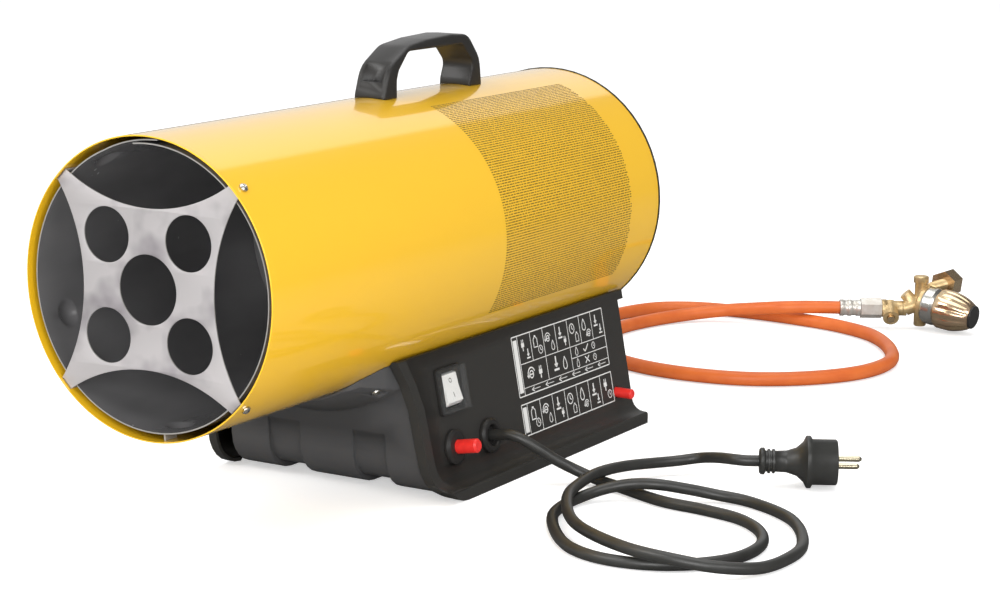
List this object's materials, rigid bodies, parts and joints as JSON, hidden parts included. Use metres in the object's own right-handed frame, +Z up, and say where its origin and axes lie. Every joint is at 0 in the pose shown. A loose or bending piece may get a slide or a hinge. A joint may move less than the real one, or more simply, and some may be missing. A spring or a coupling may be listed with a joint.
{
  "type": "forced air gas heater",
  "caption": "Horizontal drum gas heater with burner, fan, carrying handle and moulded base; loose mains lead with plug, gas hose with adjustable regulator",
  "frame": {"origin": "on the floor under the middle of the heater, measured without the lead and the hose", "axes": "+Z up, -Y the way the warm air leaves, +X the side with the controls"},
  "size_m": [0.544, 1.1393, 0.3555],
  "materials": {
    "drum_paint": "glossy yellow enamel",
    "chamber_steel": "dark heat resistant coat on sheet steel",
    "galvanised_sheet": "mottled galvanised sheet steel",
    "zinc_plate": "bright zinc plated steel",
    "base_plastic": "dark grey moulded plastic, fine grain",
    "cover_plastic": "warm near-black moulded plastic, fine grain",
    "guard_plastic": "near-black moulded plastic",
    "red_plastic": "red moulded plastic",
    "white_plastic": "white moulded plastic",
    "clear_plastic": "clear flexible cap",
    "brass": "machined and forged brass",
    "copper": "drawn copper",
    "ceramic": "glazed ceramic insulator",
    "aluminium": "cast and pressed aluminium",
    "lead_rubber": "dark grey rubber sheath",
    "hose_rubber": "orange rubber hose"
  },
  "bodies": {
    "heater": {"outer_drum": "drum_paint", "combustion_chamber": "chamber_steel", "flame_plate": "galvanised_sheet", "plate_screw_1": "zinc_plate", "plate_screw_2": "zinc_plate", "plate_screw_3": "zinc_plate", "plate_screw_4": "zinc_plate", "rear_guard": "guard_plastic", "guard_screw_1": "zinc_plate", "guard_screw_2": "zinc_plate", "guard_screw_3": "zinc_plate", "motor_bracket": "chamber_steel", "motor_screw_1": "zinc_plate", "motor_screw_2": "zinc_plate", "motor_screw_3": "zinc_plate", "fan_motor": "aluminium", "burner_cup": "chamber_steel", "gas_nozzle": "brass", "gas_pipe": "copper", "thermocouple": "copper", "ignition_electrode": "ceramic", "overheat_thermostat": "aluminium", "handle": "cover_plastic", "handle_screw_1": "zinc_plate", "handle_screw_2": "zinc_plate", "base_body": "base_plastic", "control_panel": "cover_plastic", "left_cover": "cover_plastic", "saddle_screw_1": "zinc_plate", "saddle_screw_2": "zinc_plate", "saddle_screw_3": "zinc_plate", "saddle_screw_4": "zinc_plate", "switch_housing": "cover_plastic", "switch_cover": "clear_plastic", "igniter_body": "cover_plastic", "gas_valve_body": "brass", "gas_inlet_fitting": "brass", "hose_inlet_nut": "brass", "cord_gland": "cover_plastic", "terminal_block": "white_plastic", "power_cord": "lead_rubber", "plug_body": "lead_rubber", "plug_pin_1": "brass", "plug_pin_2": "brass", "gas_hose": "hose_rubber", "hose_ferrule": "zinc_plate", "hose_nut": "zinc_plate", "safety_valve_body": "brass", "regulator_body": "brass", "regulator_bonnet": "zinc_plate"},
    "fan": {"fan_rotor": "aluminium", "motor_shaft": "zinc_plate"},
    "switch_rocker": {"rocker": "white_plastic"},
    "igniter": {"igniter_button": "red_plastic"},
    "valve_button": {"gas_valve_button": "red_plastic"},
    "knob": {"regulator_knob": "brass", "knob_cap": "guard_plastic"},
    "nut": {"cylinder_nut": "brass"},
    "reset": {"reset_button": "copper"}
  },
  "joints": [
    {"name": "fan_spin", "type": "hinge", "parent": "heater", "child": "fan", "pos_m": [-0.00235, 0.1973, 0.198], "axis": [0, 1, 0], "continuous": true},
    {"name": "rocker_tilt", "type": "hinge", "parent": "heater", "child": "switch_rocker", "pos_m": [0.08247, -0.0257, 0.0833], "axis": [0, 1, 0], "range_deg": [0, 18]},
    {"name": "igniter_button_slide", "type": "slide", "parent": "heater", "child": "igniter", "axis": [0.9824, 0, 0.187], "range_m": [-0.004, 0], "stiffness_N_per_m": 400, "springref_m": 0.002},
    {"name": "gas_valve_button_slide", "type": "slide", "parent": "heater", "child": "valve_button", "axis": [1, 0, 0], "range_m": [-0.005, 0], "stiffness_N_per_m": 400, "springref_m": 0.002},
    {"name": "regulator_knob_turn", "type": "hinge", "parent": "heater", "child": "knob", "pos_m": [0.19264, 0.7959, 0.02443], "axis": [0.9865, -0.0915, -0.1357], "range_deg": [0, 540]},
    {"name": "cylinder_nut_spin", "type": "hinge", "parent": "heater", "child": "nut", "pos_m": [0.17826, 0.8344, 0.04504], "axis": [0.0924, 0.9957, 0], "continuous": true},
    {"name": "reset_button_slide", "type": "slide", "parent": "heater", "child": "reset", "axis": [0.4215, -0.8029, -0.4215], "range_m": [-0.0025, 0], "stiffness_N_per_m": 400, "springref_m": 0.002}
  ]
}
